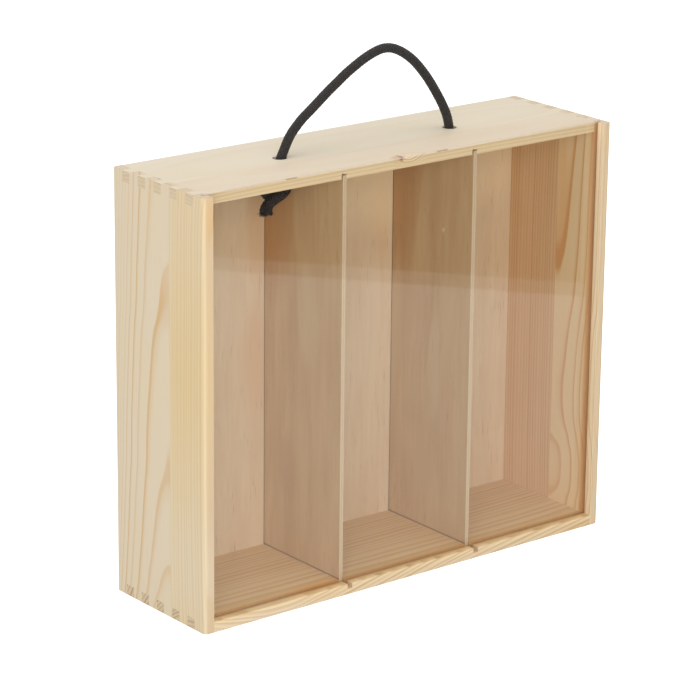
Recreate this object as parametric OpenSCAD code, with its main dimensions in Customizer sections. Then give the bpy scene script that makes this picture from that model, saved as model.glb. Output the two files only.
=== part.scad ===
// Wooden bottle carrier: a finger-jointed pine box that stands upright, with
// three compartments, a clear lid that slides up in grooves, and a rope handle
// knotted under the top board. Units are millimetres. The origin is on the
// floor, in the middle of the box; +X is right, +Y is back and +Z is up.

/* [Box] */
// Outer width of the box, left to right
box_w = 350; // [320:1:400]
// Outer depth of the box, front to back
box_d = 102; // [98:1:125]
// Outer height of the box, without the handle
box_h = 297; // [290:1:340]
// Thickness of the four pine boards
board_t = 7.5; // [7:0.1:9]
// Radius of the four upright outer corners
corner_r = 3; // [1:0.5:5]

/* [Finger joints] */
// Number of fingers at each end of the top and of the base
finger_n = 5; // [4:1:6]
// Width of each of those fingers
finger_w = 8.2; // [6:0.1:9]
// Distance from the front of the top board back to its first finger
finger_shoulder = 2.4; // [1:0.1:4]

/* [Glued staves] */
// Distance from the box's front to the glue seam in the left side
left_seam = 38.5; // [35:0.5:45]
// Distance from the box's front to the glue seam in the right side
right_seam = 45; // [38:0.5:60]
// Distance from the box's front to the glue seam in the top board
top_seam = 43; // [30:0.5:47]

/* [Grooves] */
// Depth of the grooves and dados in the boards
groove_depth = 3.5; // [2.5:0.1:4]
// Gap between a panel's edge and the floor of its groove
edge_gap = 0.3; // [0.2:0.05:0.5]

/* [Sliding lid] */
// Thickness of the clear lid
lid_t = 3; // [2:0.1:4]
// Wood in front of the lid's groove
lid_lip = 6; // [4:0.1:7]
// How much wider the groove is than the lid
lid_play = 0.3; // [0.2:0.05:0.6]

/* [Back panel] */
// Thickness of the back panel
panel_t = 3; // [2:0.1:4]
// Wood behind the back panel's groove
panel_lip = 3.5; // [2.5:0.1:5]
// How much wider the groove is than the back panel
panel_play = 0.2; // [0.1:0.05:0.4]

/* [Dividers] */
// Thickness of each divider
divider_t = 3; // [2:0.1:5]
// How far right of an even spacing the two dividers stand
divider_shift = 2.5; // [0:0.5:6]
// How much wider a dado is than the divider in it
dado_slack = 1; // [0.2:0.1:1.5]
// Gap above each divider in the top board's dado
divider_head_gap = 1; // [0.3:0.1:1.5]
// Gap before and behind each divider, to the lid's groove and the back panel
divider_edge_gap = 0.3; // [0.2:0.05:0.6]

/* [Handle] */
// Diameter of the rope
rope_d = 6.8; // [5:0.1:7.2]
// Diameter of the two holes in the top board
rope_hole_d = 10; // [9.6:0.1:12]
// Distance between the two holes
hole_pitch = 147; // [147:0.5:148]
// How far right of the middle the pair of holes stands
hole_shift = 1; // [0.5:0.5:1.5]
// Diameter of each knot
knot_d = 21; // [16:0.5:24]
// Length of rope that hangs out of the bottom of each knot
tail_length = 10.5; // [6:0.5:16]
// Sideways slant of that end, in degrees from upright
tail_slant = 22; // [0:1:25]
// Gap between a knot and the board above it
knot_gap = 0.3; // [0.2:0.05:0.5]

/* [Hidden] */

pine = [0.88, 0.80, 0.66];
pine_dark = [0.84, 0.74, 0.57];
plywood = [0.80, 0.71, 0.59];
acrylic = [0.80, 0.88, 0.90, 0.35];
rope = [0.12, 0.11, 0.11];

$fn = 48;

// Cutters reach this far past the faces that they open.
past = 1;

// Faces of the box and of the boards' inner sides.
front_y = -box_d / 2;
back_y = box_d / 2;
inner_x = box_w / 2 - board_t;
ceiling_z = box_h - board_t;
groove_floor_x = inner_x + groove_depth;
groove_floor_z = board_t - groove_depth;

// The lid's groove, and the top board's front behind it.
lid_groove_y = front_y + lid_lip;
lid_groove_w = lid_t + lid_play;
top_front_y = lid_groove_y + lid_groove_w;

// The back panel's groove.
panel_groove_w = panel_t + panel_play;
panel_groove_y = back_y - panel_lip - panel_groove_w;
panel_y = panel_groove_y + panel_play / 2;

// The fingers' centres, evenly spaced between two equal end fingers of the sides.
end_finger_w = lid_lip + lid_groove_w + finger_shoulder;
finger_pitch = (box_d - 2 * end_finger_w - finger_w) / (finger_n - 1);
finger_ys = [for (i = [0 : finger_n - 1]) front_y + end_finger_w + finger_w / 2 + i * finger_pitch];

// Left face of each divider.
bay_w = (2 * inner_x - 2 * divider_t) / 3;
left_divider_x = -inner_x + bay_w + divider_shift;
right_divider_x = left_divider_x + divider_t + bay_w;
divider_y = top_front_y + divider_edge_gap;
divider_d = panel_y - divider_edge_gap - divider_y;
divider_h = ceiling_z + groove_depth - divider_head_gap - groove_floor_z;

// The rope's holes, in the middle of the top board.
hole_y = (top_front_y + back_y) / 2;
left_hole_x = hole_shift - hole_pitch / 2;
right_hole_x = hole_shift + hole_pitch / 2;
knot_top_z = ceiling_z - knot_gap;
knot_centre_drop = knot_d / 2 - 1.5;

// The rope's line from the left knot, over the handle's bow, to the right knot.
rope_route = [
    [-72.5, 4.5, 289.2],
    [-72.5, 4.5, 292],
    [-71.5, 4.5, 297],
    [-69.5, 4.5, 301],
    [-67, 4.5, 306],
    [-64, 4.5, 311],
    [-60, 4.5, 315.5],
    [-54, 4.5, 321],
    [-47, 4.5, 326],
    [-39.5, 4.5, 331.5],
    [-32, 4.5, 337],
    [-24.5, 4.5, 342],
    [-17, 4.5, 347],
    [-9, 4.5, 351.5],
    [-1, 4.5, 355.5],
    [7, 4.5, 358.5],
    [14, 4.5, 360],
    [21, 4.5, 359.5],
    [28, 4.5, 357],
    [35, 4.5, 353],
    [41.5, 4.5, 348],
    [47.5, 4.5, 342],
    [53.5, 4.5, 335],
    [59, 4.5, 327.5],
    [64, 4.5, 320],
    [68.5, 4.5, 312.5],
    [72, 4.5, 305],
    [74, 4.5, 297],
    [74.5, 4.5, 292],
    [74.5, 4.5, 289.2]
];
rope_sides = 10;

function unit(v) = v / norm(v);

// Direction of a route at one of its points, from the neighbours on both sides.
function heading(route, i) =
    unit(route[min(i + 1, len(route) - 1)] - route[max(i - 1, 0)]);

// Ring of points around a route at one of its points, square to its direction.
function ring(route, i, radius, sides) =
    let (across = [0, 1, 0], over = cross(heading(route, i), across))
    [for (s = [0 : sides - 1]) let (a = 360 * s / sides)
        route[i] + radius * (cos(a) * across + sin(a) * over)];

// Round tube swept along a route that lies in an upright plane.
module tube(route, radius, sides) {
    last = len(route) - 1;
    points = [for (i = [0 : last]) each ring(route, i, radius, sides)];
    walls = [for (i = [0 : last - 1], s = [0 : sides - 1])
        let (n = (s + 1) % sides)
        [i * sides + s, (i + 1) * sides + s, (i + 1) * sides + n, i * sides + n]];
    first_cap = [for (s = [0 : sides - 1]) s];
    last_cap = [for (s = [sides - 1 : -1 : 0]) last * sides + s];
    polyhedron(points, concat(walls, [first_cap, last_cap]));
}

// Plan of the left side board, square inside and rounded at both outer corners.
module side_plan() {
    translate([-box_w / 2, front_y + corner_r])
        square([board_t, box_d - 2 * corner_r]);
    translate([-box_w / 2 + corner_r, front_y])
        square([board_t - corner_r, box_d]);
    for (y = [front_y + corner_r, back_y - corner_r])
        translate([-box_w / 2 + corner_r, y])
            circle(r = corner_r);
}

// Left side board, notched for the fingers and grooved for the lid and the back panel.
// The lid's groove runs out at the top, and the back panel's is stopped at both ends.
module side_board() {
    difference() {
        linear_extrude(box_h)
            side_plan();
        for (y = finger_ys, z = [-past, ceiling_z])
            translate([-box_w / 2 - past, y - finger_w / 2, z])
                cube([board_t + 2 * past, finger_w, board_t + past]);
        translate([-groove_floor_x, lid_groove_y, groove_floor_z])
            cube([groove_depth + past, lid_groove_w, box_h]);
        translate([-groove_floor_x, panel_groove_y, groove_floor_z])
            cube([groove_depth + past, panel_groove_w, box_h - 2 * groove_floor_z]);
    }
}

// The stretch of a board from one distance behind the box's front to another.
module stave(from_y, to_y) {
    intersection() {
        children();
        translate([-box_w, front_y + from_y, -past])
            cube([2 * box_w, to_y - from_y, box_h + 2 * past]);
    }
}

module left_side_front_stave() {
    color(pine_dark)
        stave(0, left_seam)
            side_board();
}

module left_side_rear_stave() {
    color(pine)
        stave(left_seam, box_d)
            side_board();
}

module right_side_front_stave() {
    color(pine)
        stave(0, right_seam)
            mirror([1, 0, 0])
                side_board();
}

module right_side_rear_stave() {
    color(pine_dark)
        stave(right_seam, box_d)
            mirror([1, 0, 0])
                side_board();
}

// Flat board between the sides, from start_y to the back, with its fingers at both ends.
module level_board(start_y) {
    translate([-inner_x, start_y, 0])
        cube([2 * inner_x, back_y - start_y, board_t]);
    for (y = finger_ys)
        translate([-box_w / 2, y - finger_w / 2, 0])
            cube([box_w, finger_w, board_t]);
}

// Cutter for the two dados, from start_y to the back panel, beside each divider by slack_x.
module dados(start_y, z, height, slack_x) {
    for (x = [left_divider_x, right_divider_x])
        translate([x + slack_x, start_y, z])
            cube([divider_t + dado_slack, panel_groove_y + past - start_y, height]);
}

// Cutter for the back panel's groove across the top or the base.
module panel_groove(z) {
    translate([-inner_x - past, panel_groove_y, z])
        cube([2 * (inner_x + past), panel_groove_w, groove_depth + past]);
}

// Top board behind the lid, with the two rope holes. A divider stands at the right of its dado.
module top_board() {
    difference() {
        translate([0, 0, ceiling_z])
            level_board(top_front_y);
        dados(top_front_y - past, ceiling_z - past, groove_depth + past, -dado_slack);
        panel_groove(ceiling_z - past);
        for (x = [left_hole_x, right_hole_x])
            translate([x, hole_y, ceiling_z - past])
                cylinder(d = rope_hole_d, h = board_t + 2 * past);
    }
}

module top_front_stave() {
    color(pine)
        stave(0, top_seam)
            top_board();
}

module top_rear_stave() {
    color(pine)
        stave(top_seam, box_d)
            top_board();
}

// Base board over the whole depth. A divider stands at the left of its dado.
module base_board() {
    color(pine)
        difference() {
            level_board(front_y);
            dados(front_y - past, groove_floor_z, groove_depth + past, 0);
            panel_groove(groove_floor_z);
            translate([-inner_x - past, lid_groove_y, groove_floor_z])
                cube([2 * (inner_x + past), lid_groove_w, groove_depth + past]);
        }
}

module back_panel() {
    color(plywood)
        translate([-groove_floor_x + edge_gap, panel_y, groove_floor_z + edge_gap])
            cube([
                2 * (groove_floor_x - edge_gap),
                panel_t,
                box_h - 2 * (groove_floor_z + edge_gap)
            ]);
}

module divider(x) {
    color(plywood)
        translate([x, divider_y, groove_floor_z])
            cube([divider_t, divider_d, divider_h]);
}

module left_divider() {
    divider(left_divider_x);
}

module right_divider() {
    divider(right_divider_x);
}

// Clear lid, down in the base's groove and flush with the top of the box.
module sliding_lid() {
    color(acrylic)
        translate([-groove_floor_x + edge_gap, lid_groove_y + lid_play / 2, groove_floor_z + edge_gap])
            cube([
                2 * (groove_floor_x - edge_gap),
                lid_t,
                box_h - groove_floor_z - edge_gap
            ]);
}

module handle_rope() {
    color(rope)
        tube(rope_route, rope_d / 2, rope_sides);
}

// Round knot, flat where the rope leaves it upwards, with the rope's cut end hanging out.
module knot(x, slant) {
    color(rope)
        translate([x, hole_y, knot_top_z]) {
            intersection() {
                translate([0, 0, -knot_centre_drop])
                    sphere(d = knot_d);
                translate([-knot_d, -knot_d, -2 * knot_d])
                    cube([2 * knot_d, 2 * knot_d, 2 * knot_d]);
            }
            translate([0, 0, -knot_centre_drop])
                rotate([0, slant, 0])
                    translate([0, 0, -knot_d / 2 - tail_length])
                        cylinder(d = rope_d, h = knot_d / 2 + tail_length);
        }
}

module left_knot() {
    knot(left_hole_x, tail_slant);
}

module right_knot() {
    knot(right_hole_x, -tail_slant);
}

left_side_front_stave();
left_side_rear_stave();
right_side_front_stave();
right_side_rear_stave();
top_front_stave();
top_rear_stave();
base_board();
back_panel();
left_divider();
right_divider();
sliding_lid();
handle_rope();
left_knot();
right_knot();
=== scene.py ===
# %% [markdown]
# A wooden beer carrier.
# The object is a tall flat pine box with a clear lid that slides up, two plywood
# dividers and a black rope handle.
# The boards, panels and lid come ready from the CAD model in metres, with the origin
# on the floor under the middle of the box, +X to the right and +Y towards the back.
# This lesson gives them their wood, makes the rope with its knots, and sets up the
# camera and the light.

import math

import bpy
from mathutils import Matrix, Vector


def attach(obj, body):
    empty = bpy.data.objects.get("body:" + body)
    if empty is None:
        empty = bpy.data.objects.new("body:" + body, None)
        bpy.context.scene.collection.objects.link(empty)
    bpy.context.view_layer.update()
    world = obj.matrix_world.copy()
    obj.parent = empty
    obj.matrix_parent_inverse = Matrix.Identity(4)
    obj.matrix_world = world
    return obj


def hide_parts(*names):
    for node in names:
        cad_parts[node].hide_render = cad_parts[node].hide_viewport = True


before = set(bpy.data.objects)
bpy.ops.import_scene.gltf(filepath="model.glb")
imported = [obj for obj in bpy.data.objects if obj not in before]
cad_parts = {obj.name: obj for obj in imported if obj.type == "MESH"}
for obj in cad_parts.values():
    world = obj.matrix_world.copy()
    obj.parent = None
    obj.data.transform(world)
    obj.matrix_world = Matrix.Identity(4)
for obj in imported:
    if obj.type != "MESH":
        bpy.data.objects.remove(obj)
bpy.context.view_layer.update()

# %% [markdown]
# The sizes below repeat the ones that the CAD model was built from.
# Wood is easiest to think about in millimetres, so the wood finishes work in
# millimetres and the meshes in metres.

# %% Sizes of the object
MM = 0.001
BOX_HEIGHT = 297
BOARD = 7.5
CEILING = BOX_HEIGHT - BOARD
ROPE_DIAMETER = 6.8
ROPE_Y = 4.5
LEFT_HOLE_X = -72.5
RIGHT_HOLE_X = 74.5
LEFT_DIVIDER_X = -53.83
RIGHT_DIVIDER_X = 58.83
BACK_PANEL_Y = 45.9

print("Bay height in mm:", CEILING - BOARD)

# %% [markdown]
# The camera comes first, because every finish is judged through it.
# The place and the turn of the camera were worked out from the straight edges of the
# box in the photograph, so they are written as numbers and not set by eye.
# It stands far off with a long lens, so the box is drawn almost without perspective.
# The three axes are the camera's own right, up and back directions.

# %% Camera
CAMERA_PLACE = Vector((-1.32318, -1.63847, 0.81806))
CAMERA_RIGHT = Vector((0.783441, -0.621378, 0.010409))
CAMERA_UP = Vector((0.179897, 0.242784, 0.953254))
CAMERA_BACK = Vector((-0.594858, -0.744946, 0.301991))

camera_data = bpy.data.cameras.new("photo_camera")
camera_data.sensor_width = 36
camera_data.lens = 165.004
camera_data.clip_start = 0.1
camera_data.clip_end = 50
camera = bpy.data.objects.new("photo_camera", camera_data)
camera_turn = Matrix((CAMERA_RIGHT, CAMERA_UP, CAMERA_BACK)).transposed()
camera.matrix_world = Matrix.Translation(CAMERA_PLACE) @ camera_turn.to_4x4()
bpy.context.scene.collection.objects.link(camera)
bpy.context.scene.camera = camera
bpy.context.scene.view_settings.view_transform = "Standard"
print("Camera distance to the origin:", round(CAMERA_PLACE.length, 3))

# %% [markdown]
# Most finishes need sums of node values, such as how far a point is from the middle
# of the tree.
# Writing each Math node by hand hides the idea, so one small class lets a socket be
# used in a Python sum.
# Every other node comes from its add method: settings first, then sockets.


# %% A socket that can do sums
class Shade:
    """A socket of a node tree. Python's + - * / on it add Math nodes."""

    def __init__(self, tree, socket=None):
        self.tree = tree
        self.socket = socket

    def add(self, kind, inputs, output=0, stops=None, points=None, **settings):
        """A node of any kind, with its settings, then values or links."""
        node = self.tree.nodes.new(kind)
        for name, value in settings.items():
            setattr(node, name, value)
        if stops:
            fill_ramp(node.color_ramp, stops)
        if points:
            fill_curve(node.mapping, points)
        for name, value in inputs.items():
            if isinstance(value, Shade):
                self.tree.links.new(value.socket, node.inputs[name])
            else:
                node.inputs[name].default_value = value
        return Shade(self.tree, node.outputs[output])

    def math(self, operation, first, second=0.0, **settings):
        inputs = {0: first, 1: second}
        return self.add("ShaderNodeMath", inputs, operation=operation, **settings)

    def __add__(self, other):
        return self.math("ADD", self, other)

    def __radd__(self, other):
        return self.math("ADD", other, self)

    def __sub__(self, other):
        return self.math("SUBTRACT", self, other)

    def __rsub__(self, other):
        return self.math("SUBTRACT", other, self)

    def __mul__(self, other):
        return self.math("MULTIPLY", self, other)

    def __rmul__(self, other):
        return self.math("MULTIPLY", other, self)

    def __truediv__(self, other):
        return self.math("DIVIDE", self, other)

    def __rtruediv__(self, other):
        return self.math("DIVIDE", other, self)

    def __pow__(self, other):
        return self.math("POWER", self, other)

    def clamp(self):
        return self.math("ADD", self, 0.0, use_clamp=True)

    def step(self, low, high):
        """Smoothly from 0 at low to 1 at high."""
        inputs = {"Value": self, "From Min": low, "From Max": high}
        return self.add("ShaderNodeMapRange", inputs, interpolation_type="SMOOTHSTEP")


def fill_ramp(ramp, stops):
    """Put these (place, grey) stops on a colour ramp."""
    while len(ramp.elements) > 1:
        ramp.elements.remove(ramp.elements[-1])
    for index, (place, grey) in enumerate(stops):
        element = ramp.elements[0] if index == 0 else ramp.elements.new(place)
        element.position = place
        element.color = (grey, grey, grey, 1)


def fill_curve(mapping, points):
    """Put these (x, y) points, in rising x, on a Float Curve."""
    curve = mapping.curves[0]
    for x, y in points[1:-1]:
        curve.points.new(x, y)
    curve.points[0].location = points[0]
    curve.points[-1].location = points[-1]
    mapping.update()


def colour(red, green, blue):
    """A screen colour from 0 to 255, as the linear value that nodes use."""
    parts = [part / 255 for part in (red, green, blue)]
    linear = [p / 12.92 if p < 0.04045 else ((p + 0.055) / 1.055) ** 2.4 for p in parts]
    return (*linear, 1)


def blend(first, second, share):
    """Mix two colours by share, a value from 0 to 1."""
    inputs = {0: share, 6: first, 7: second}
    return share.add("ShaderNodeMix", inputs, 2, data_type="RGBA")


def new_material(name):
    """An empty material, its tree as a Shade and its shader to fill."""
    material = bpy.data.materials.new(name)
    material.use_nodes = True
    tree = material.node_tree
    for node in list(tree.nodes):
        if node.type != "OUTPUT_MATERIAL":
            tree.nodes.remove(node)
    return material, Shade(tree)


def show(material, shader):
    """Send a shader to the material's output."""
    tree = material.node_tree
    output = next(node for node in tree.nodes if node.type == "OUTPUT_MATERIAL")
    tree.links.new(shader.socket, output.inputs["Surface"])


def curve_value(value, points):
    """Read a smooth curve through (x, y) points at value."""
    xs = [x for x, _ in points]
    ys = [y for _, y in points]
    low, reach = min(ys), max(max(ys) - min(ys), 1e-6)
    start, span = xs[0], xs[-1] - xs[0]
    unit = [((x - start) / span, (y - low) / reach) for x, y in points]
    inputs = {"Value": ((value - start) / span).clamp()}
    return value.add("ShaderNodeFloatCurve", inputs, points=unit) * reach + low


print("Helpers for the finishes are ready")

# %% [markdown]
# The rope is a round braid: eight yarns wind one way round it, eight the other way,
# and each passes over and under the ones that it meets.
# A bump pattern on a plain tube would slide on the bends, and its outline would stay
# smooth, so the yarns are real geometry that follows the rope's line.
# The route repeats the CAD model's points: up out of the left hole, over in an
# uneven arch, and down into the right hole.

# %% The handle's route
HANDLE_ROUTE = [
    (-72.5, 289.2),
    (-72.5, 292),
    (-71.5, 297),
    (-69.5, 301),
    (-67, 306),
    (-64, 311),
    (-60, 315.5),
    (-54, 321),
    (-47, 326),
    (-39.5, 331.5),
    (-32, 337),
    (-24.5, 342),
    (-17, 347),
    (-9, 351.5),
    (-1, 355.5),
    (7, 358.5),
    (14, 360),
    (21, 359.5),
    (28, 357),
    (35, 353),
    (41.5, 348),
    (47.5, 342),
    (53.5, 335),
    (59, 327.5),
    (64, 320),
    (68.5, 312.5),
    (72, 305),
    (74, 297),
    (74.5, 292),
    (74.5, 289.2),
]
handle_points = [Vector((x, ROPE_Y, z)) * MM for x, z in HANDLE_ROUTE]


def smooth_line(points, steps=8):
    """A smooth line that passes through every point."""
    ends = [2 * points[0] - points[1], *points, 2 * points[-1] - points[-2]]
    line = []
    for a, b, c, d in zip(ends, ends[1:], ends[2:], ends[3:]):
        for step in range(steps):
            t = step / steps
            bend = 2 * b + (c - a) * t
            bend += (2 * a - 5 * b + 4 * c - d) * t**2
            bend += (3 * b - a - 3 * c + d) * t**3
            line.append(bend / 2)
    return [*line, points[-1]]


def line_length(points):
    return sum((b - a).length for a, b in zip(points, points[1:]))


handle_line = smooth_line(handle_points)
print("Handle length in m, knot to knot:", round(line_length(handle_line), 4))

# %% [markdown]
# The rope's black yarn is matt, with a faint brown tint and a dull sheen on each yarn.
# The braid stores how far along a yarn each point lies, and round it, and the
# material draws the fine filaments from those two, so they stay on the yarn.

# %% Black yarn
YARN_BLACK = colour(28, 24, 22)
YARN_WORN = colour(48, 43, 39)
FILAMENT_MM = 0.16

yarn, yarn_tree = new_material("black_braided_yarn")
along_yarn = yarn_tree.add(
    "ShaderNodeAttribute", {}, output=2, attribute_name="along_yarn"
)
round_yarn = yarn_tree.add(
    "ShaderNodeAttribute", {}, output=2, attribute_name="round_yarn"
)
twist = along_yarn / (FILAMENT_MM * MM * 2.5) + round_yarn * 9
filament = yarn_tree.math("SINE", twist * 2 * math.pi) * 0.5 + 0.5
yarn_place = yarn_tree.add("ShaderNodeTexCoord", {}, output="Object")
yarn_patches = yarn_tree.add(
    "ShaderNodeTexNoise", {"Vector": yarn_place, "Scale": 420, "Detail": 3}
)
yarn_tone = (filament * 0.35 + yarn_patches.step(0.35, 0.75) * 0.65).clamp()
yarn_bump = yarn_tree.add(
    "ShaderNodeBump",
    {"Strength": 0.35, "Distance": 0.00005, "Height": filament},
)
yarn_shader = yarn_tree.add(
    "ShaderNodeBsdfPrincipled",
    {
        "Base Color": blend(YARN_BLACK, YARN_WORN, yarn_tone),
        "Roughness": 0.72 - 0.12 * filament,
        "Sheen Weight": 0.12,
        "Sheen Roughness": 0.5,
        "Specular IOR Level": 0.35,
        "Normal": yarn_bump,
    },
)
show(yarn, yarn_shader)
print("Made the material", yarn.name)

# %% [markdown]
# Geometry Nodes make the braid from any line.
# The line is copied once for each yarn.
# Each copy is wound round the line, in or out a little where it meets the others, and
# then thickened.
# The same tree makes the handle and both knots, so the pattern is the same all along.


# %% The braid tree
def new_tree(name, sizes):
    """A Geometry Nodes tree with a geometry, named sizes and a material as inputs."""
    tree = bpy.data.node_groups.new(name, "GeometryNodeTree")
    tree.interface.new_socket(
        "Geometry", in_out="INPUT", socket_type="NodeSocketGeometry"
    )
    for label, kind in sizes.items():
        tree.interface.new_socket(
            label, in_out="INPUT", socket_type=f"NodeSocket{kind}"
        )
    tree.interface.new_socket(
        "Material", in_out="INPUT", socket_type="NodeSocketMaterial"
    )
    tree.interface.new_socket(
        "Geometry", in_out="OUTPUT", socket_type="NodeSocketGeometry"
    )
    group_input = Shade(tree).add("NodeGroupInput", {})
    sockets = {
        item.name: Shade(tree, item)
        for item in group_input.socket.node.outputs
        if item.name
    }
    return tree, sockets


def end_tree(tree, shape, material):
    """Realize the instances, set the material and send the shape out."""
    whole = shape.add("GeometryNodeRealizeInstances", {0: shape})
    painted = shape.add("GeometryNodeSetMaterial", {0: whole, "Material": material})
    output = tree.nodes.new("NodeGroupOutput")
    tree.links.new(painted.socket, output.inputs[0])


def store(shape, name, value):
    """Keep a number at every point under a name."""
    return shape.add(
        "GeometryNodeStoreNamedAttribute",
        {0: shape, "Name": name, "Value": value},
        data_type="FLOAT",
        domain="POINT",
    )


def vector_math(operation, first, second):
    return first.add(
        "ShaderNodeVectorMath", {0: first, 1: second}, operation=operation
    )


def scaled(vector, size):
    return vector.add(
        "ShaderNodeVectorMath", {0: vector, "Scale": size}, operation="SCALE"
    )


braid_tree, braid_in = new_tree(
    "braided_rope",
    {
        "Winding radius": "Float",
        "Weave depth": "Float",
        "Yarn radius": "Float",
        "Turn length": "Float",
        "Yarns each way": "Int",
        "Step": "Float",
    },
)
line = braid_in["Geometry"]
fine_line = line.add(
    "GeometryNodeResampleCurve",
    {"Curve": line, "Length": braid_in["Step"]},
    mode="LENGTH",
)
copies = fine_line.add(
    "GeometryNodeDuplicateElements",
    {0: fine_line, "Amount": braid_in["Yarns each way"] * 2},
    domain="SPLINE",
)
flare = line.add("GeometryNodeInputRadius", {})
copy_number = Shade(braid_tree, copies.socket.node.outputs["Duplicate Index"])
along = line.add("GeometryNodeSplineParameter", {}, output="Length")
tangent = line.add("GeometryNodeInputTangent", {})
normal = line.add("GeometryNodeInputNormal", {})
side = vector_math("CROSS_PRODUCT", tangent, normal)
way = 1 - 2 * line.math("LESS_THAN", braid_in["Yarns each way"] - 0.5, copy_number)
turns = along / braid_in["Turn length"]
angle = (copy_number / braid_in["Yarns each way"] + way * turns) * (2 * math.pi)
weave = line.math("COSINE", turns * braid_in["Yarns each way"] * (2 * math.pi))
distance = braid_in["Winding radius"] + way * weave * braid_in["Weave depth"]
distance = distance * flare
offset = vector_math(
    "ADD",
    scaled(normal, line.math("COSINE", angle) * distance),
    scaled(side, line.math("SINE", angle) * distance),
)
wound = copies.add("GeometryNodeSetPosition", {0: copies, "Offset": offset})
wound = store(wound, "along_yarn", along)
yarn_ring = line.add(
    "GeometryNodeCurvePrimitiveCircle",
    {"Resolution": 6, "Radius": braid_in["Yarn radius"]},
)
ring_share = line.add("GeometryNodeSplineParameter", {}, output="Factor")
yarn_ring = store(yarn_ring, "round_yarn", ring_share)
yarns = wound.add(
    "GeometryNodeCurveToMesh",
    {"Curve": wound, "Profile Curve": yarn_ring, "Fill Caps": True},
)
core_ring = line.add(
    "GeometryNodeCurvePrimitiveCircle",
    {"Resolution": 12, "Radius": braid_in["Winding radius"]},
)
core = line.add(
    "GeometryNodeCurveToMesh",
    {"Curve": line, "Profile Curve": core_ring, "Fill Caps": True},
)
joined = yarns.add("GeometryNodeJoinGeometry", {0: yarns})
braid_tree.links.new(core.socket, joined.socket.node.inputs[0])
end_tree(braid_tree, joined, braid_in["Material"])
print("Nodes in the braid tree:", len(braid_tree.nodes))

# %% [markdown]
# A modifier's inputs go by the socket's identifier, and they are set before the
# object is first evaluated.
# The result is then turned into a plain mesh, and the modifier is gone.


# %% Turn a tree into a mesh piece
def grow(name, base, tree, inputs):
    """Run a tree on a base object and keep the result as a plain mesh piece."""
    bpy.context.scene.collection.objects.link(base)
    modifier = base.modifiers.new(tree.name, "NODES")
    modifier.node_group = tree
    for item in tree.interface.items_tree:
        if item.item_type == "SOCKET" and item.in_out == "INPUT":
            if item.name in inputs:
                modifier[item.identifier] = inputs[item.name]
    graph = bpy.context.evaluated_depsgraph_get()
    mesh = bpy.data.meshes.new_from_object(base.evaluated_get(graph))
    mesh.name = name
    bpy.data.objects.remove(base)
    piece = bpy.data.objects.new(name, mesh)
    bpy.context.scene.collection.objects.link(piece)
    for face in mesh.polygons:
        face.use_smooth = True
    print(name, "faces:", len(mesh.polygons))
    return piece


def line_object(name, points, widths=None):
    """A curve object with one open spline; widths widen the rope along it."""
    data = bpy.data.curves.new(name, "CURVE")
    data.dimensions = "3D"
    data.twist_mode = "MINIMUM"
    spline = data.splines.new("POLY")
    spline.points.add(len(points) - 1)
    for spot, place, width in zip(spline.points, points, widths or [1] * len(points)):
        spot.co = (*place, 1)
        spot.radius = width
    return bpy.data.objects.new(name, data)


YARN_RADIUS = 0.68
WEAVE_DEPTH = 0.22
WINDING_RADIUS = ROPE_DIAMETER / 2 - WEAVE_DEPTH - YARN_RADIUS
BRAID_SIZES = {
    "Winding radius": WINDING_RADIUS * MM,
    "Weave depth": WEAVE_DEPTH * MM,
    "Yarn radius": YARN_RADIUS * MM,
    "Turn length": 17 * MM,
    "Yarns each way": 8,
    "Step": 0.45 * MM,
    "Material": yarn,
}
handle_base = line_object("handle_line", handle_line)
handle = grow("rope_handle", handle_base, braid_tree, BRAID_SIZES)

# %% [markdown]
# Under the top board each end of the rope is tied in an overhand knot, which is too
# big for the hole and so carries the weight.
# The rope comes down, turns up on the outer side, goes once round itself, and its
# tail passes through the loop and hangs out to the side.
# The same points make both knots, turned over for the right one.
# Its braid opens out towards the cut end.

# %% Knots
KNOT_CENTRE_Z = 280
KNOT_POINTS = [
    (0, 0, 9.2),
    (-0.5, 0, 5.0),
    (-0.3, 0.6, 0),
    (-0.6, 1.6, -5.0),
    (-3.8, 3.2, -8.4),
    (-8.6, 3.6, -7.4),
    (-11.4, 3.2, -2.4),
    (-10.2, 4.8, 2.6),
    (-5.4, 6.8, 4.9),
    (0.6, 6.4, 4.6),
    (5.0, 3.0, 3.0),
    (5.4, -2.4, 0.4),
    (1.8, -5.8, -2.8),
    (-2.6, -6.0, -6.4),
    (-6.6, -3.6, -9.6),
    (-9.0, -0.8, -12.4),
    (-10.2, 0.6, -15.4),
    (-10.8, 1.0, -18.4),
]
TAIL_WIDTHS = [1.0, 1.05, 1.2, 1.35, 1.45]
LINE_STEPS = 10


def knot_line(hole_x, outward):
    """The knot's line under a hole; outward is -1 for a tail to the left."""
    points = [
        Vector((hole_x - outward * x, ROPE_Y + y, KNOT_CENTRE_Z + z)) * MM
        for x, y, z in KNOT_POINTS
    ]
    return smooth_line(points, LINE_STEPS)


def tail_widths(count):
    """The braid opens out towards the rope's cut end."""
    first = count - 1 - (len(TAIL_WIDTHS) - 1) * LINE_STEPS
    widths = []
    for index in range(count):
        place = max(0, index - first) / LINE_STEPS
        low = min(int(place), len(TAIL_WIDTHS) - 2)
        widths.append(
            TAIL_WIDTHS[low] + (place - low) * (TAIL_WIDTHS[low + 1] - TAIL_WIDTHS[low])
        )
    return widths


def rope_knot(name, knot):
    base = line_object(name + "_line", knot, tail_widths(len(knot)))
    return grow(name, base, braid_tree, BRAID_SIZES)


left_line = knot_line(LEFT_HOLE_X, -1)
right_line = knot_line(RIGHT_HOLE_X, 1)
left_knot = rope_knot("left_rope_knot", left_line)
right_knot = rope_knot("right_rope_knot", right_line)
print("Rope in one knot, in m:", round(line_length(left_line), 4))

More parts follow.
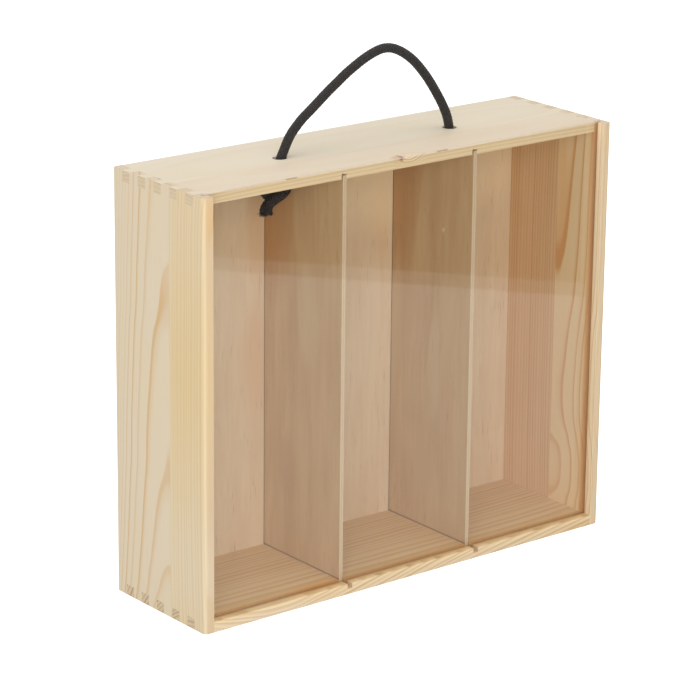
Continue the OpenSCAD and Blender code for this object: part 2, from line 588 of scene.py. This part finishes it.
# %% [markdown]
# The cut ends of the rope are frayed: the yarns open into short loose filaments.
# They are bristles on a small disc, so Geometry Nodes scatter one bent filament over
# it, each turned and sized at random from a fixed seed.

# %% Frayed ends
fray_tree, fray_in = new_tree(
    "frayed_end",
    {
        "Filaments per area": "Float",
        "Filament length": "Float",
        "Filament radius": "Float",
        "Spread": "Float",
        "Tilt": "Vector",
        "Seed": "Int",
    },
)
disc = fray_in["Geometry"]
filament_points = disc.add(
    "GeometryNodeDistributePointsOnFaces",
    {0: disc, "Density": fray_in["Filaments per area"], "Seed": fray_in["Seed"]},
    distribute_method="RANDOM",
)
disc_normal = Shade(fray_tree, filament_points.socket.node.outputs["Normal"])
bent = disc.add(
    "GeometryNodeCurveQuadraticBezier",
    {
        "Resolution": 4,
        "Start": (0, 0, -0.001),
        "Middle": disc.add(
            "ShaderNodeCombineXYZ", {"Z": fray_in["Filament length"] * 0.6}
        ),
        "End": disc.add(
            "ShaderNodeCombineXYZ",
            {"X": fray_in["Spread"], "Z": fray_in["Filament length"]},
        ),
    },
)
filament_ring = disc.add(
    "GeometryNodeCurvePrimitiveCircle",
    {"Resolution": 3, "Radius": fray_in["Filament radius"]},
)
filament_shape = bent.add(
    "GeometryNodeCurveToMesh",
    {"Curve": bent, "Profile Curve": filament_ring, "Fill Caps": True},
)
upright = disc.add(
    "FunctionNodeAlignRotationToVector", {"Vector": disc_normal}, axis="Z"
)
random_tilt = disc.add(
    "FunctionNodeRandomValue",
    {0: scaled(fray_in["Tilt"], -1), 1: fray_in["Tilt"], "Seed": fray_in["Seed"]},
    data_type="FLOAT_VECTOR",
)
turned = disc.add(
    "FunctionNodeRotateRotation",
    {"Rotation": upright, "Rotate By": random_tilt},
    rotation_space="LOCAL",
)
random_size = disc.add(
    "FunctionNodeRandomValue",
    {2: 0.45, 3: 1.0, "Seed": fray_in["Seed"] + 1},
    output=1,
    data_type="FLOAT",
)
tuft = filament_points.add(
    "GeometryNodeInstanceOnPoints",
    {
        "Points": filament_points,
        "Instance": filament_shape,
        "Rotation": turned,
        "Scale": random_size,
    },
)
end_tree(fray_tree, tuft, fray_in["Material"])


def frayed_end(name, knot, seed):
    """A tuft of loose filaments on the cut end of a knot's line."""
    end, before = knot[-1], knot[-2]
    facing = (end - before).to_track_quat("Z", "Y")
    corners = [(math.cos(turn), math.sin(turn), 0) for turn in DISC_TURNS]
    spots = [end + facing @ Vector(corner) * (4.2 * MM) for corner in corners]
    mesh = bpy.data.meshes.new(name)
    mesh.from_pydata(spots, [], [list(range(len(spots)))])
    sizes = {
        "Filaments per area": 3.6e6,
        "Filament length": 3.0 * MM,
        "Filament radius": 0.22 * MM,
        "Spread": 1.3 * MM,
        "Tilt": (0.75, 0.75, math.pi),
        "Seed": seed,
        "Material": yarn,
    }
    return grow(name, bpy.data.objects.new(name + "_disc", mesh), fray_tree, sizes)


DISC_TURNS = [index * math.pi / 8 for index in range(16)]
left_end = frayed_end("left_rope_end", left_line, 4)
right_end = frayed_end("right_rope_end", right_line, 9)

# %% [markdown]
# Every rope piece belongs to the box and moves with it.
# The handle stands for the CAD rope and each knot for its CAD knot.
# The frayed ends ride along.

for piece in (handle, left_knot, right_knot, left_end, right_end):
    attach(piece, "box")
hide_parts("handle_rope")
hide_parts("left_knot")
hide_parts("right_knot")
print("Rope declared:", handle.name)

# %% [markdown]
# Pine shows a tree's growth rings, pale where it grew in spring and orange where it
# grew in late summer.
# A picture of grain would break at every edge of a board, so the rings are worked
# out in the solid: each stave knows where the heart of its tree ran, and a point's
# distance from that heart tells which ring it is in.
# Where a face lies nearly along a ring the bands grow wide and make arches, and
# where it cuts straight through them they are narrow lines, as in real boards.
# The heart's distance was found for each stave from the lines that its face shows.

# %% Growth rings
BROAD_RINGS = [
    (0, 0.1),
    (0.03, 0),
    (0.6, 0.03),
    (0.8, 0.4),
    (0.88, 1),
    (0.97, 1),
    (1, 0.1),
]
FINE_RINGS = [
    (0, 0.2),
    (0.08, 0),
    (0.4, 0.1),
    (0.7, 0.75),
    (0.85, 1),
    (0.93, 1),
    (1, 0.2),
]


def split(vector):
    """The x, y and z of a vector."""
    node = vector.add("ShaderNodeSeparateXYZ", {0: vector}).socket.node
    return [Shade(vector.tree, output) for output in node.outputs]


def noise(thick, width, run, scale, detail=1.0, seed=0.0):
    """Noise from 0 to 1 in the wood's own directions."""
    place = thick.add("ShaderNodeCombineXYZ", {"X": thick, "Y": width, "Z": run})
    inputs = {"Vector": place, "W": seed, "Scale": scale, "Detail": detail}
    return thick.add("ShaderNodeTexNoise", inputs, noise_dimensions="4D")


def heart_distance(thick, width, run, heart, wander, seed):
    """How far a point is from the tree's heart, with the heart's slow wander."""
    depth = curve_value(run, [(place, depth) for place, depth, _ in heart])
    side = curve_value(run, [(place, side) for place, _, side in heart])
    straight = ((thick - depth) ** 2 + (width - side) ** 2) ** 0.5
    slow = noise(thick, width, run * 0.18, 0.03, seed=seed) - 0.5
    quick = noise(thick, width, run * 0.1, 0.22, detail=2, seed=seed) - 0.5
    return straight + slow * (2 * wander) + quick * (0.5 * wander)


def ring_bands(distance, rings, seed):
    """The late wood's share at this distance from the heart.

    rings is the width of even fine rings, or a list of (place, strength) of broad ones.
    """
    if isinstance(rings, (int, float)):
        stretched = noise(distance * 0.3, 0 * distance, 0 * distance, 0.5, seed=seed)
        count = distance / rings + stretched * 1.6
        ring = distance.math("FLOOR", count)
        luck = distance.add(
            "ShaderNodeTexWhiteNoise",
            {"W": ring + seed},
            output="Value",
            noise_dimensions="1D",
        )
        strength, ramp = 0.4 + 0.6 * luck, FINE_RINGS
    else:
        places = [(place, index) for index, (place, _) in enumerate(rings)]
        count = curve_value(distance, places)
        ring = distance.math("FLOOR", count)
        strengths = [(index - 1, share) for index, (_, share) in enumerate(rings)]
        strength, ramp = curve_value(ring, strengths), BROAD_RINGS
    share = distance.math("FRACT", count)
    return distance.add("ShaderNodeValToRGB", {"Fac": share}, stops=ramp) * strength


print("Ring ramps have", len(BROAD_RINGS), "and", len(FINE_RINGS), "stops")

# %% [markdown]
# A pine stave is one material from those rings, with fine fibres along the grain and
# slow patches of a warmer tone.
# On the sawn ends the fibres are cut across, so the wood is greyer and darker there,
# with open pores.
# Sanded pine is nearly matt, and its hard late wood is a little smoother.


# %% Pine stave
def oval_patch(x, y, z, middle, size):
    """1 in the middle of a soft oval patch in the wood, 0 outside it."""
    parts = [((axis - m) / s) ** 2 for axis, m, s in zip((x, y, z), middle, size)]
    return 1 - ((parts[0] + parts[1] + parts[2]) ** 0.5).step(0.0, 1.0)


def pine_stave(
    name,
    run,
    heart,
    rings,
    tones,
    strength,
    wander,
    seed,
    ends,
    front=None,
    rise=None,
    knot=None,
    fade=None,
    patches=(),
):
    """Pine with its grain along run, the letter x or z.

    tones are pale, late and warm.
    ends are the pale and dark tones of the sawn ends and how far they differ.
    front is the tone and ring strength of the long edge that faces forwards.
    rise lifts the rings near that edge by these mm along the board.
    knot is where the rings bend round a knot, its size, and by how many mm.
    fade is an oval where the rings are weaker: middle, size, share.
    patches are ovals of another tone: middle, size, tone, share.
    """
    material, tree = new_material(name)
    pale, late, warm = (colour(*tone) for tone in tones)
    coordinates = tree.add("ShaderNodeTexCoord", {}, output="Object")
    x, y, z = [part * 1000 for part in split(coordinates)]
    surface = tree.add("ShaderNodeTexCoord", {}, output="Normal")
    normal_x, normal_y, normal_z = split(surface)
    thick, along, facing = (x, z, normal_z) if run == "z" else (z, x, normal_x)
    distance = heart_distance(thick, y, along, heart, wander, seed)
    if knot:
        middle_of_knot, knot_size, push = knot
        distance = distance + oval_patch(x, y, z, middle_of_knot, knot_size) * push
    if rise:
        distance = distance - curve_value(along, rise) * (1 - y.step(-48, -42))
    bands = ring_bands(distance, rings, seed)
    fibre = noise(thick, y, along * 0.012, 1.7, detail=3, seed=seed + 3)
    cloud = noise(thick, y, along * 0.25, 0.035, detail=2, seed=seed + 6)
    face = blend(pale, warm, cloud.step(0.35, 0.7) * 0.8)
    amount = bands * strength
    if front:
        forwards = tree.math("ABSOLUTE", normal_y).step(0.84, 0.95)
        face = blend(face, colour(*front[0]), forwards)
        amount = bands * (strength + forwards * (front[1] - strength))
    for middle, size, tone, share in patches:
        face = blend(face, colour(*tone), oval_patch(x, y, z, middle, size) * share)
    if knot:
        amount = amount + bands * oval_patch(x, y, z, middle_of_knot, knot_size) * 0.7
    if fade:
        amount = amount * (1 - oval_patch(x, y, z, fade[0], fade[1]) * fade[2])
    face = blend(face, late, amount.clamp())
    face = blend(face, late, fibre.step(0.5, 0.85) * 0.2)
    pores = noise(thick, y, along * 0.2, 1.9, detail=3, seed=seed + 9)
    end_pale, end_dark, end_share = colour(*ends[0]), colour(*ends[1]), ends[2]
    end_grain = blend(end_pale, end_dark, (bands * end_share).clamp())
    end_grain = blend(end_grain, end_dark, pores.step(0.45, 0.7) * 0.3)
    is_end = tree.math("ABSOLUTE", facing).step(0.6, 0.8)
    base = blend(face, end_grain, is_end)
    height = bands * 0.5 + fibre * 0.6 + pores * is_end
    bump = tree.add(
        "ShaderNodeBump", {"Strength": 0.25, "Distance": 0.0001, "Height": height}
    )
    shader = tree.add(
        "ShaderNodeBsdfPrincipled",
        {
            "Base Color": base,
            "Roughness": 0.66 - 0.12 * bands,
            "Specular IOR Level": 0.3,
            "Normal": bump,
        },
    )
    show(material, shader)
    return material


GREY_ENDS = [(222, 203, 172), (198, 170, 134), 0.5]
PALE_ENDS = [(224, 207, 180), (184, 152, 114), 0.6]
STRIPED_ENDS = [(220, 201, 168), (156, 116, 78), 0.75]
print("Sawn ends differ by", GREY_ENDS[2], PALE_ENDS[2], STRIPED_ENDS[2])

# %% [markdown]
# Each of the seven pine pieces gets its own tree.
# The side boards are glued up from two staves, and so is the top board, and the
# staves differ as much as they do in the photograph: a broad flat-sawn stave with
# arches beside one with fine straight lines.
# Heart places are (along the grain, through the board, front to back) in mm.
# The ovals of another tone follow what the boards show: the warmer middle of a stave,
# the darker orange wall of each groove, partly late wood and partly painted shade,
# a painted highlight on the pale lip of each groove and along the top's rear edge,
# painted shade in the narrow gap beside each divider, and the small knot in the top
# board's front edge.

# %% Seven pine pieces
LEFT_FACE = -175
RIGHT_INNER_FACE = 167.5

LEFT_REAR_HEART = [
    (0, LEFT_FACE + 34, -12),
    (9, LEFT_FACE + 36, -12),
    (17, LEFT_FACE + 37.5, -12),
    (28, LEFT_FACE + 38.8, -12),
    (37, LEFT_FACE + 40, -12),
    (53, LEFT_FACE + 41.6, -12),
    (71, LEFT_FACE + 43, -12),
    (85, LEFT_FACE + 44.2, -12),
    (102, LEFT_FACE + 45.6, -12),
    (125, LEFT_FACE + 46.2, -12),
    (157, LEFT_FACE + 48, -12),
    (193, LEFT_FACE + 50.1, -12),
    (209, LEFT_FACE + 51.6, -12),
    (239, LEFT_FACE + 52.8, -12),
    (250, LEFT_FACE + 53.4, -12),
    (297, LEFT_FACE + 55.4, -12),
]
LEFT_REAR_RINGS = [
    (24, 0.4),
    (34, 0.4),
    (40.0, 0.5),
    (46.0, 0.65),
    (53.2, 0.9),
    (59.3, 0.5),
    (64.1, 0.95),
    (68.0, 0.65),
    (71.0, 0.5),
    (73.4, 0.35),
    (75.6, 0.45),
    (78, 0.3),
    (80.5, 0.35),
    (83, 0.3),
    (86, 0.3),
    (90, 0.3),
]
RIGHT_FRONT_HEART = [
    (0, RIGHT_INNER_FACE - 35.4, -6.5),
    (12, RIGHT_INNER_FACE - 34.4, -6.5),
    (35, RIGHT_INNER_FACE - 32.2, -6.5),
    (57, RIGHT_INNER_FACE - 34.4, -6.3),
    (90, RIGHT_INNER_FACE - 37.7, -5),
    (120, RIGHT_INNER_FACE - 36.9, -5),
    (166, RIGHT_INNER_FACE - 34.9, -7.8),
    (184, RIGHT_INNER_FACE - 34.4, -8.4),
    (200, RIGHT_INNER_FACE - 33.6, -8.2),
    (240, RIGHT_INNER_FACE - 31.8, -7),
    (297, RIGHT_INNER_FACE - 28.0, -5.4),
]
RIGHT_FRONT_RINGS = [
    (10, 0.3),
    (19, 0.3),
    (27, 0.4),
    (34.6, 0.85),
    (40, 0.75),
    (45.3, 0.65),
    (49, 0.8),
    (52.6, 0.5),
    (56, 0.5),
    (60, 0.4),
    (64, 0.4),
    (68, 0.4),
    (72, 0.4),
    (76, 0.4),
]

pine_pieces = {
    "left_side_rear_stave": pine_stave(
        "pine_left_rear",
        "z",
        LEFT_REAR_HEART,
        LEFT_REAR_RINGS,
        [(227, 212, 186), (214, 174, 120), (228, 211, 180)],
        strength=0.85,
        wander=0.5,
        seed=1.0,
        ends=PALE_ENDS,
        fade=((-175, -12, 238), (10, 16, 30), 0.5),
    ),
    "left_side_front_stave": pine_stave(
        "pine_left_front",
        "z",
        [(0, -171, 60), (150, -169, 62), (297, -172, 59)],
        3.1,
        [(228, 210, 178), (213, 178, 122), (230, 209, 170)],
        strength=0.5,
        wander=1.8,
        seed=2.0,
        ends=PALE_ENDS,
        front=((219, 194, 160), 0.6),
        patches=[
            ((-175, -30, 178), (60, 60, 125), (229, 200, 144), 0.62),
            ((-175, -32, 35), (60, 50, 60), (229, 214, 186), 0.7),
            ((-170, -51, 284), (7, 5, 26), (232, 188, 128), 0.5),
        ],
    ),
    "right_side_rear_stave": pine_stave(
        "pine_right_rear",
        "z",
        [(0, 160, -80), (150, 164, -78), (297, 159, -81)],
        2.9,
        [(222, 186, 142), (188, 128, 82), (218, 179, 132)],
        strength=0.6,
        wander=1.2,
        seed=3.0,
        ends=PALE_ENDS,
    ),
    "right_side_front_stave": pine_stave(
        "pine_right_front",
        "z",
        RIGHT_FRONT_HEART,
        RIGHT_FRONT_RINGS,
        [(230, 203, 159), (206, 140, 74), (228, 197, 148)],
        strength=0.85,
        wander=0.35,
        seed=4.0,
        ends=PALE_ENDS,
        front=((224, 200, 164), 0.5),
        fade=((167.5, -6, 34), (14, 26, 44), 0.75),
        patches=[
            # Partly a late-wood line, partly painted shade: the darker orange wall of
            # the lid's groove.
            ((167.5, -42, 150), (12, 5, 900), (208, 142, 82), 0.75),
            ((167.5, -11, 245), (10, 10, 75), (228, 182, 122), 0.6),
            # Painted highlight: a near-white line on the lip in front of the lid's
            # groove.
            ((166.5, -48.5, 150), (3, 5, 900), (255, 240, 208), 1.0),
        ],
    ),
    "top_rear_stave": pine_stave(
        "pine_top_rear",
        "x",
        [(-175, 180, 10), (0, 182, 14), (175, 179, 8)],
        2.6,
        [(232, 220, 199), (220, 200, 168), (230, 217, 190)],
        strength=0.25,
        wander=1.5,
        seed=5.0,
        ends=GREY_ENDS,
        # Painted highlight: a pale line along the top board's rear edge.
        patches=[((0, 51, 297), (900, 3, 3), (238, 234, 228), 0.8)],
    ),
    "top_front_stave": pine_stave(
        "pine_top_front",
        "x",
        [(-175, 176, -22), (0, 180, -18), (175, 178, -24)],
        2.5,
        [(231, 216, 193), (206, 164, 112), (229, 211, 187)],
        strength=0.12,
        wander=0.8,
        seed=6.0,
        ends=GREY_ENDS,
        front=((232, 206, 164), 0.7),
        knot=((1, -40, 296), (16, 9, 10), 7.0),
        patches=[
            ((2, -41, 296), (14, 7, 9), (244, 222, 184), 1.0),
            ((-10.5, -40, 296.5), (4, 5, 4), (202, 150, 92), 0.5),
            ((-6, -41.2, 296.4), (3.2, 8, 3.4), (138, 48, 8), 1.0),
            # Painted shade: a dark spot for the narrow gap beside each divider at the
            # top board's front.
            ((-55.9, -41.7, 291.2), (1.5, 5, 3.6), (96, 54, 28), 1.0),
            ((56.7, -41.7, 291.2), (1.5, 5, 3.6), (96, 54, 28), 1.0),
        ],
    ),
    "base_board": pine_stave(
        "pine_base",
        "x",
        [(-175, -44, -46), (0, -45, -45), (175, -43, -44)],
        3.1,
        [(227, 196, 148), (186, 134, 80), (223, 189, 138)],
        strength=0.6,
        wander=1.8,
        seed=7.0,
        ends=STRIPED_ENDS,
        front=((234, 214, 180), 0.6),
        rise=[
            (-175, 9),
            (-145, 3),
            (-110, 0),
            (-80, 4),
            (-50, 10),
            (60, 34),
            (175, 50),
        ],
        patches=[
            ((-75, -42, 5), (40, 14, 12), (232, 178, 108), 0.6),
            # Painted shade: the darker orange-brown wall of the lid's groove in the
            # base.
            ((0, -42.5, 7), (900, 4.5, 9), (204, 136, 72), 0.75),
            ((165, -51, 3), (60, 12, 12), (222, 190, 140), 0.6),
            ((-120, -51, 3), (60, 12, 12), (242, 224, 198), 0.6),
            # Painted highlight: a pale band on the lip in front of the lid's groove.
            ((0, -50.5, 7.5), (900, 5.5, 5), (246, 222, 176), 1.0),
        ],
    ),
}


def assign(node, material):
    """Put a material in every slot of a CAD node's object."""
    for material_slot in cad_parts[node].material_slots:
        material_slot.material = material


for node_name, material in pine_pieces.items():
    assign(node_name, material)
print("Pine pieces:", len(pine_pieces))

# %% [markdown]
# The dividers and the back are thin plywood, peeled from a turning log, so their
# faces show a soft cloudy figure and short dark pores instead of rings.
# On their edges the middle ply shows its cut ends, darker than the two face plies.
# A few soft patches follow the ones that the panels show.
# Painted shade darkens the upper rear of each divider, under the top board, and a thin
# band along its joints with the back and the floor; a pale band of painted light lies
# across the top of the back panel.


# %% Plywood
def soft_spot(across, up, place, size):
    """1 in the middle of a soft oval patch of the panel, 0 outside it."""
    reach = ((across - place[0]) / size[0]) ** 2 + ((up - place[1]) / size[1]) ** 2
    return 1 - reach.step(0.0, 1.0)


def plywood(name, through, middle, tones, spots, seed):
    """Plywood with its thickness along through, the letter x or y.

    middle is where its middle ply lies, and tones are pale and dark.
    spots are soft patches of another tone: place, size, tone, share.
    """
    material, tree = new_material(name)
    pale, dark = (colour(*tone) for tone in tones)
    coordinates = tree.add("ShaderNodeTexCoord", {}, output="Object")
    x, y, z = [part * 1000 for part in split(coordinates)]
    normal_x, normal_y, _ = split(tree.add("ShaderNodeTexCoord", {}, output="Normal"))
    depth, across, facing = (x, y, normal_x) if through == "x" else (y, x, normal_y)
    cloud = noise(depth * 0.1, across, z * 0.16, 0.075, detail=2, seed=seed)
    figure = noise(depth * 0.1, across + cloud * 14, z * 0.06, 0.3, detail=2, seed=seed)
    fibre = noise(depth * 0.1, across, z * 0.02, 2.2, detail=2, seed=seed + 3)
    pore_field = noise(depth * 0.1, across, z * 0.07, 1.5, detail=0, seed=seed + 6)
    pore_place = noise(depth * 0.1, across, z * 0.5, 0.09, detail=1, seed=seed + 9)
    pores = pore_field.step(0.68, 0.76) * pore_place.step(0.4, 0.65)
    face = blend(pale, dark, cloud.step(0.3, 0.75) * 0.5)
    face = blend(face, dark, figure.step(0.4, 0.75) * 0.3)
    face = blend(face, dark, fibre.step(0.5, 0.8) * 0.2)
    uneven = across + (cloud - 0.5) * 16
    for place, size, tone, share in spots:
        patch = soft_spot(uneven, z + (figure - 0.5) * 22, place, size)
        face = blend(face, colour(*tone), patch * share)
    face = blend(face, colour(*PORE_TONE), pores * 0.35)
    if through == "x":
        # Painted shade: a dark band along the divider's rear and bottom edges, where it
        # meets the back and the floor.
        joint_shade = (across.step(42.6, 44.0) + 1 - z.step(7.9, 9.2)).clamp()
        face = blend(face, colour(*JOINT_SHADE_TONE), joint_shade * 0.7)
    in_core = 1 - tree.math("ABSOLUTE", depth - middle).step(0.42, 0.62)
    specks = noise(depth, across, z, 0.9, detail=2, seed=seed + 12)
    edge = blend(colour(*PLY_EDGE), colour(*PLY_CORE), in_core * 0.3)
    edge = blend(edge, colour(*PLY_CORE), specks.step(0.55, 0.75) * 0.35)
    on_edge = 1 - tree.math("ABSOLUTE", facing).step(0.6, 0.8)
    bump = tree.add(
        "ShaderNodeBump",
        {"Strength": 0.25, "Distance": 0.0001, "Height": fibre * 0.5 - pores},
    )
    shader = tree.add(
        "ShaderNodeBsdfPrincipled",
        {
            "Base Color": blend(face, edge, on_edge),
            "Roughness": 0.62 + 0.1 * pores,
            "Specular IOR Level": 0.3,
            "Normal": bump,
        },
    )
    show(material, shader)
    return material


PORE_TONE = (146, 106, 74)
# Painted shade at the dividers' joints with the back and the floor.
JOINT_SHADE_TONE = (104, 72, 50)
# Painted shade: darker orange-brown in the upper rear of each divider, under the top
# board.
REAR_TOP_SHADE_TONE = (176, 130, 86)
PLY_EDGE = (208, 184, 150)
PLY_CORE = (176, 146, 110)
DIVIDER_TONES = [(202, 172, 132), (182, 145, 103)]
BACK_TONES = [(227, 203, 169), (211, 179, 140)]
GREEN_PALE = (206, 184, 148)
PINK_STAIN = (196, 150, 110)
BACK_STAIN = (219, 182, 142)

panels = {
    "left_divider": plywood(
        "plywood_left_divider",
        "x",
        LEFT_DIVIDER_X,
        DIVIDER_TONES,
        [
            ((40, 262), (34, 90), REAR_TOP_SHADE_TONE, 0.7),
            ((-6, 185), (14, 45), GREEN_PALE, 0.5),
            ((26, 225), (5, 8), PINK_STAIN, 0.5),
            ((18, 72), (12, 30), (182, 144, 112), 0.5),
        ],
        11.0,
    ),
    "right_divider": plywood(
        "plywood_right_divider",
        "x",
        RIGHT_DIVIDER_X,
        DIVIDER_TONES,
        [
            ((40, 262), (34, 90), REAR_TOP_SHADE_TONE, 0.6),
            ((-4, 130), (8, 50), GREEN_PALE, 0.6),
            ((-12, 232), (3, 1.5), (226, 206, 176), 0.8),
            ((-20, 90), (8, 60), PINK_STAIN, 0.25),
        ],
        17.0,
    ),
    "back_panel": plywood(
        "plywood_back",
        "y",
        BACK_PANEL_Y,
        BACK_TONES,
        [
            ((-60, 145), (20, 50), BACK_STAIN, 0.7),
            ((-62, 235), (14, 45), BACK_STAIN, 0.6),
            ((48, 225), (6, 40), BACK_STAIN, 0.6),
            # Painted light: a broad pale band that lifts the top of the back panel.
            ((90, 258), (150, 50), (244, 219, 178), 0.7),
        ],
        23.0,
    ),
}
for node_name, material in panels.items():
    assign(node_name, material)
print("Plywood pieces:", len(panels))

# %% [markdown]
# The lid is clear acrylic.
# It lets light straight through and mirrors a small part of it, more at a flat
# angle, so its material mixes a see-through shader and a glossy one by that angle.
# Real refraction in a flat sheet would only shift the view by a millimetre and
# darken the bays with noise.
# Only rays that the eye sees are mirrored, so that all the light reaches the bays.
# The sawn side edges hold back some light, and show as faint lines on a raised lid.


# %% Clear acrylic
def seen_directly(tree):
    """1 for rays from the camera, from mirrors and through clear parts."""
    rays = ("Is Camera Ray", "Is Glossy Ray", "Is Transmission Ray")
    seen = [tree.add("ShaderNodeLightPath", {}, output=ray) for ray in rays]
    return (seen[0] + seen[1] + seen[2]).clamp()


MIRROR_LEAST = 0.045
acrylic, acrylic_tree = new_material("clear_acrylic_sheet")
facing_away = acrylic_tree.add("ShaderNodeLayerWeight", {"Blend": 0.5}, output="Facing")
seen_ray = seen_directly(acrylic_tree)
mirror_share = (MIRROR_LEAST + (1 - MIRROR_LEAST) * facing_away**5) * seen_ray
acrylic_place = acrylic_tree.add("ShaderNodeTexCoord", {}, output="Object")
haze = acrylic_tree.add(
    "ShaderNodeTexNoise", {"Vector": acrylic_place, "Scale": 14, "Detail": 2}
)
clear_face = acrylic_tree.add(
    "ShaderNodeBsdfTransparent", {"Color": (0.99, 0.992, 0.99, 1)}
)
sawn_edge = acrylic_tree.add(
    "ShaderNodeBsdfTransparent", {"Color": (0.78, 0.8, 0.79, 1)}
)
acrylic_normal = split(acrylic_tree.add("ShaderNodeTexCoord", {}, output="Normal"))
on_sheet = acrylic_tree.math("ABSOLUTE", acrylic_normal[1]) + acrylic_normal[2]
is_clear = on_sheet.step(0.3, 0.7)
see_through = acrylic_tree.add(
    "ShaderNodeMixShader", {0: is_clear, 1: sawn_edge, 2: clear_face}
)
mirror = acrylic_tree.add(
    "ShaderNodeBsdfGlossy",
    {"Color": (1, 1, 1, 1), "Roughness": 0.012 + 0.02 * haze},
)
acrylic_shader = acrylic_tree.add(
    "ShaderNodeMixShader", {0: mirror_share, 1: see_through, 2: mirror}
)
show(acrylic, acrylic_shader)
assign("sliding_lid", acrylic)
print("The lid mirrors at least", MIRROR_LEAST, "of the light on each face")

# %% [markdown]
# The photograph was taken in a white studio, so the light comes evenly from all
# round, with one large soft box overhead for a faint shadow under the rope.
# A second one stands behind the camera, and reaches through the lid into the bays.
# The world lights the object at a plain level, and only the camera and mirror-like
# rays see it as pure white.

# %% Light
SKY_STRENGTH = 0.62
world = bpy.data.worlds.new("studio")
bpy.context.scene.world = world
world.use_nodes = True
world.node_tree.nodes.clear()
sky = Shade(world.node_tree)
white_sky = sky.add("ShaderNodeBackground", {"Color": (1, 1, 1, 1), "Strength": 1.0})
light_sky = sky.add(
    "ShaderNodeBackground", {"Color": (1, 1, 1, 1), "Strength": SKY_STRENGTH}
)
both_skies = sky.add(
    "ShaderNodeMixShader", {0: seen_directly(sky), 1: light_sky, 2: white_sky}
)
sky_output = world.node_tree.nodes.new("ShaderNodeOutputWorld")
world.node_tree.links.new(both_skies.socket, sky_output.inputs["Surface"])


def soft_box(name, place, aim, size, watts):
    """A square lamp of this size in metres, turned to a point."""
    lamp = bpy.data.lights.new(name, "AREA")
    lamp.shape = "SQUARE"
    lamp.size = size
    lamp.energy = watts
    holder = bpy.data.objects.new(name, lamp)
    holder.location = place
    turn = (Vector(aim) - Vector(place)).to_track_quat("-Z", "Y")
    holder.rotation_euler = turn.to_euler()
    holder.visible_camera = False
    bpy.context.scene.collection.objects.link(holder)
    return holder


soft_box("overhead_box", (-0.2, -0.1, 1.9), (0, 0, 0.2), 1.5, 9.0)
soft_box("front_box", (-1.57, -2.0, 0.69), (0, 0, 0.15), 1.5, 32.0)
print("Sky strength:", SKY_STRENGTH)

# %% [markdown]
# The floor is white and keeps the soft shadow at the foot of the box.
# A little of its white is for direct rays only, so the open floor is as white as the
# background while the shadow stays.
# The white table ended to the right of the camera, and the lid mirrors that edge as
# a slanting line: hazy white below it, clear above.
# Dark cards lie beyond the edge, and only mirror rays see them.


# %% Floor and cards
def flat_plane(name, corners, material):
    """A flat stage piece through its corners."""
    mesh = bpy.data.meshes.new(name)
    mesh.from_pydata(corners, [], [list(range(len(corners)))])
    mesh.materials.append(material)
    plane = bpy.data.objects.new(name, mesh)
    bpy.context.scene.collection.objects.link(plane)
    return plane


floor_white, floor_tree = new_material("studio_floor_white")
camera_ray = floor_tree.add("ShaderNodeLightPath", {}, output="Is Camera Ray")
floor_glow = (seen_directly(floor_tree) * 0.3 + camera_ray * 0.5).clamp()
floor_shader = floor_tree.add(
    "ShaderNodeBsdfPrincipled",
    {
        "Base Color": (0.7, 0.7, 0.7, 1),
        "Roughness": 0.9,
        "Specular IOR Level": 0.0,
        "Emission Color": blend((0, 0, 0, 1), (1, 1, 1, 1), floor_glow),
        "Emission Strength": 1.0,
    },
)
show(floor_white, floor_shader)
FLOOR_REACH = 4.0
FLOOR_Z = -0.0002
floor_corners = [
    (side * FLOOR_REACH, depth * FLOOR_REACH, FLOOR_Z)
    for side, depth in ((-1, -1), (1, -1), (1, 1), (-1, 1))
]
flat_plane("studio_floor", floor_corners, floor_white)

TABLE_EDGE = Vector((0.358, -0.771, 0))
EDGE_ALONG = Vector((0.629, 0.777, 0))
EDGE_OUT = Vector((0.777, -0.629, 0))


def mirror_card(name, start, stop, grey, height):
    """A card beyond the table's edge, from start to stop metres out from it."""
    material, tree = new_material(name + "_paper")
    paper = {"Base Color": (grey, grey, grey, 1), "Roughness": 1.0}
    paper["Specular IOR Level"] = 0.0
    show(material, tree.add("ShaderNodeBsdfPrincipled", paper))
    corners = [
        TABLE_EDGE + EDGE_ALONG * along + EDGE_OUT * out + Vector((0, 0, height))
        for along, out in ((-1.5, start), (-1.5, stop), (1.5, stop), (1.5, start))
    ]
    card = flat_plane(name, corners, material)
    card.visible_camera = False
    card.visible_diffuse = False
    card.visible_transmission = False
    card.visible_shadow = False
    return card


mirror_card("edge_card", -0.041, 0.0, 0.45, 0.0002)
mirror_card("dark_card", 0.0, 2.0, 0.01, 0.0004)
print("Stage pieces: floor and two cards")

# %% [markdown]
# Last, the view layer is brought up to date.

# %% Finish
bpy.context.view_layer.update()
